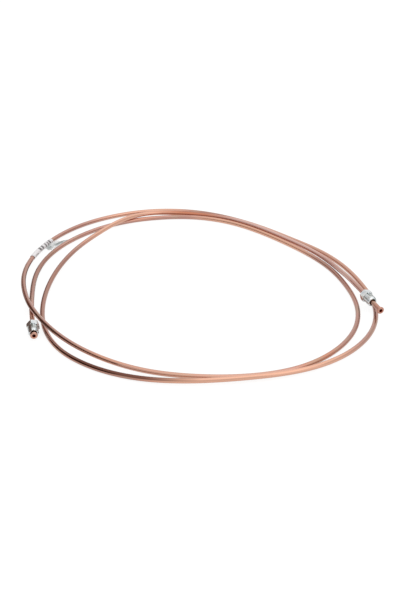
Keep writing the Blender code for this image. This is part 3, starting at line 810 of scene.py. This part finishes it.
tailSettings = {
    "root": 2.8 * mm,       # the film leaves the wrap here, measured from the tube's axis
    "reach": 13.0 * mm,
    "start": 27.0 * mm,
    "end": 49.0 * mm,
    "tipStart": 39.0 * mm,  # the film's free edge, further along than its root
    "tipEnd": 65.0 * mm,
    "film": 0.12 * mm,
    "offPaper": 0.35 * mm,
    "drop": 3.4 * mm,       # how far out from its root it has come down to the paper
    # a soft fold runs out along the film: mm along the label, mm from the axis, and how grey its painted
    # shade is
    "fold": [(27, 5.2, 0.0), (31, 5.0, 0.7), (36, 5.0, 0.8), (41, 5.7, 0.25), (46, 6.7, 0.9), (53, 8.3, 1.0),
             (59, 9.3, 0.7), (65, 12.4, 0.35)],
    "foldWidth": 2.1 * mm,
    "foldHeight": 0.6 * mm,
    "foldRise": 1.4,        # the fold is at its full height before the film is down, sooner by this
    "tipCurve": 0.8,        # how the end of the film runs from its root out to its tip
    "wave": 0.25 * mm,
    "waveCount": 1.4,
    "clear": "#F8F8F8",
    # the grey of the painted shade along the fold
    "foldShade": "#7F8A88",
    "roughness": 0.2,
    "filmIndex": 1.25,      # lower than solid polyester's, because so thin a film hardly bends the view
    "transmission": 0.85,
    "creases": (45.0, 110.0),  # for each metre, along the film and across it
    "creaseShade": (0.35, 0.65, 0.8, 1.0),  # two noise levels, and the share of the fold's painted grey shade at each
    "grid": (44, 40),       # points across the film and along it
}


def labelFrames(runs):
    # as the pipe's frames, with the side pointing into the coil
    places, sides, ups = courseFrames(runs)
    inward = (sides[:, :2] * -places[:, :2]).sum(axis=1)
    return places, sides * np.where(inward < 0, -1.0, 1.0)[:, None], ups


def makeVinyl():
    # calendered vinyl: a soft semi-gloss white, with plain bars of ink that carry no lettering
    s = labelSettings
    made, tree, shader = newMaterial("white_vinyl_marker")
    place = addNode(tree, "Attribute", {"attribute_name": "surfacePlace"}).outputs["Vector"]
    parts = addNode(tree, "SeparateXYZ", None, {0: place})
    ink = None
    for start, end, low, high, dark in s["bars"]:
        sides = []
        for value, first, last, soft in ((parts.outputs["X"], start * mm, end * mm, s["inkEdge"]),
                                         (parts.outputs["Y"], low, high, s["inkTurnEdge"])):
            sides.append(addNode(tree, "MapRange", {1: first - soft, 2: first + soft}, {0: value}))
            sides.append(addNode(tree, "MapRange", {1: last + soft, 2: last - soft}, {0: value}))
        bar = sides[0]
        for side in sides[1:]:
            bar = addNode(tree, "Math", {"operation": "MULTIPLY"}, {0: bar, 1: side})
        bar = addNode(tree, "Math", {"operation": "MULTIPLY", 1: dark}, {0: bar})
        ink = addNode(tree, "Math", {"operation": "MAXIMUM"}, {0: ink, 1: bar}) if ink else bar
    worn = addNode(tree, "TexNoise", {"Scale": s["wearScale"], "Detail": 3.0})
    start, end, low, high = s["wear"]
    faded = addNode(tree, "MapRange", {1: start, 2: end, 3: low, 4: high}, {0: worn})
    ink = addNode(tree, "Math", {"operation": "MULTIPLY"}, {0: ink, 1: faded})
    shade = addNode(tree, "TexNoise", {"Scale": s["shadeScale"], "Detail": 2.0})
    start, full, amount = s["shadePatch"]
    tone = addNode(tree, "MapRange", {1: start, 2: full, 3: 0.0, 4: amount}, {0: shade})
    colour = addNode(tree, "Mix", {"data_type": "RGBA", 6: s["vinyl"], 7: s["shaded"]}, {0: tone})
    colour = addNode(tree, "Mix", {"data_type": "RGBA", 7: s["ink"]}, {0: ink, 6: colour})
    tree.links.new(colour.outputs[2], shader.inputs["Base Color"])
    shader.inputs["Roughness"].default_value = s["roughness"]
    shader.inputs["Coat Weight"].default_value = s["gloss"]
    shader.inputs["Coat Roughness"].default_value = s["glossRoughness"]
    relief = addNode(tree, "Bump", {"Strength": 0.15, "Distance": 0.03 * mm}, {"Height": shade})
    tree.links.new(relief.outputs[0], shader.inputs["Normal"])
    return made


def makeClearFilm():
    # clear polyester: the eye gets little more than its bends, with a painted grey shade along its fold
    s = tailSettings
    made, tree, shader = newMaterial("clear_laminate_film")
    place = addNode(tree, "Attribute", {"attribute_name": "surfacePlace"}).outputs["Vector"]
    parts = addNode(tree, "SeparateXYZ", None, {0: place})
    wide = addNode(tree, "VectorMath", {"operation": "MULTIPLY", 1: (*s["creases"], 0.0)}, {0: place})
    creases = addNode(tree, "TexNoise", {"Scale": 1.0, "Detail": 2.0}, {0: wide})
    start, end, low, high = s["creaseShade"]
    uneven = addNode(tree, "MapRange", {1: start, 2: end, 3: low, 4: high}, {0: creases})
    # painted shade, grey along the fold
    foldShade = addNode(tree, "Math", {"operation": "MULTIPLY"}, {0: parts.outputs["Z"], 1: uneven})
    colour = addNode(tree, "Mix", {"data_type": "RGBA", 6: s["clear"], 7: s["foldShade"]}, {0: foldShade})
    tree.links.new(colour.outputs[2], shader.inputs["Base Color"])
    shader.inputs["Roughness"].default_value = s["roughness"]
    shader.inputs["IOR"].default_value = s["filmIndex"]
    shader.inputs["Transmission Weight"].default_value = s["transmission"]
    return made


def buildWrap(surface):
    s = labelSettings
    runs = s["start"] + np.linspace(0.0, s["length"], s["rings"])
    places, sides, ups = labelFrames(runs)
    upperTurns = np.linspace(0, s["overlap"] - s["lapWidth"], s["outerPoints"])
    lowerTurns = np.linspace(s["overlap"], s["lastTurn"], s["innerPoints"])
    degrees = np.concatenate([upperTurns, lowerTurns])
    turns = np.radians(degrees)
    along = (runs - s["start"])[:, None]
    # the outer layer steps down where the film laps itself, and the cut ends lift a little
    lap = np.where(degrees < s["overlap"], 0.0, -s["lap"])[None, :]
    lap = lap + s["ripple"] * np.sin(3 * turns + 0.7)[None, :] * np.sin(along / s["rippleLength"] + 1.0)
    ends = np.minimum(along, s["length"] - along)
    lift = s["endLift"] * np.exp(-ends / s["endLiftReach"]) * (1 + np.sin(2 * turns + 0.4))[None, :]
    outer = s["outer"] + lap + lift
    inner = np.maximum(outer - s["film"], s["inner"])
    cos, sin = np.cos(turns)[None, :, None], np.sin(turns)[None, :, None]

    def shell(radii):
        return places[:, None, :] + radii[:, :, None] * (cos * sides[:, None, :] + sin * ups[:, None, :])

    rings = np.concatenate([shell(outer), shell(inner)[::-1]])
    at = np.concatenate([along, along[::-1]])
    grid = (len(rings), len(degrees))
    extra = np.stack([np.broadcast_to(at, grid), np.broadcast_to(degrees[None, :], grid), np.zeros(grid)],
                     axis=-1)
    wrap = meshFromRings("label_wrap", rings, extra, surface)
    wrap.data.set_sharp_from_angle(angle=math.radians(s["sharpAngle"]))
    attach(wrap, "pipe")
    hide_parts("marker_label")
    print(f"label wrap built, {len(wrap.data.polygons)} faces")


def buildTail(surface):
    s = tailSettings
    across, along = s["grid"]
    foldRuns, foldSlides, foldShades = np.array(s["fold"]).T
    lowest = s["film"] / 2 + s["offPaper"]
    grid = np.zeros((across, along, 3))
    extra = np.zeros((across, along, 3))
    spread = np.linspace(0.0, 1.0, along)
    for i, reach in enumerate(np.linspace(0.0, 1.0, across)):
        slide = s["root"] + (s["reach"] - s["root"]) * reach
        start = s["start"] + (s["tipStart"] - s["start"]) * reach
        end = s["end"] + (s["tipEnd"] - s["end"]) * reach ** s["tipCurve"]
        runs = start + (end - start) * spread
        places, sides, _ = labelFrames(labelSettings["start"] + runs)
        fall = min(1.0, (slide - s["root"]) / s["drop"])
        height = lowest + (places[:, 2] - lowest) * (1 - fall) ** 2 * (1 + 2 * fall)
        foldSlide = np.interp(runs / mm, foldRuns, foldSlides) * mm
        beside = np.exp(-((slide - foldSlide) / s["foldWidth"]) ** 2)
        height = height + beside * s["foldHeight"] * min(fall * s["foldRise"], 1.0)
        wave = 1 + np.sin(2 * math.pi * spread * s["waveCount"] + 0.6)
        height = height + s["wave"] * math.sin(math.pi * reach) * wave
        grid[i] = places + sides * slide
        grid[i][:, 2] = height
        # painted shade along the fold
        foldShade = beside * np.interp(runs / mm, foldRuns, foldShades)
        extra[i] = np.stack([runs, np.full(along, slide), foldShade], axis=-1)
    i, j = np.meshgrid(np.arange(across - 1), np.arange(along - 1), indexing="ij")
    a = i * along + j
    faces = np.stack([a, a + 1, a + along + 1, a + along], axis=-1).reshape(-1, 4)
    tail = addMesh("label_tail", grid.reshape(-1, 3), faces, extra, surface)
    film = tail.modifiers.new("film", "SOLIDIFY")
    film.thickness = s["film"]
    film.offset = 0.0
    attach(tail, "pipe")
    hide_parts("marker_label")
    print("label tail built")


buildWrap(makeVinyl())
buildTail(makeClearFilm())
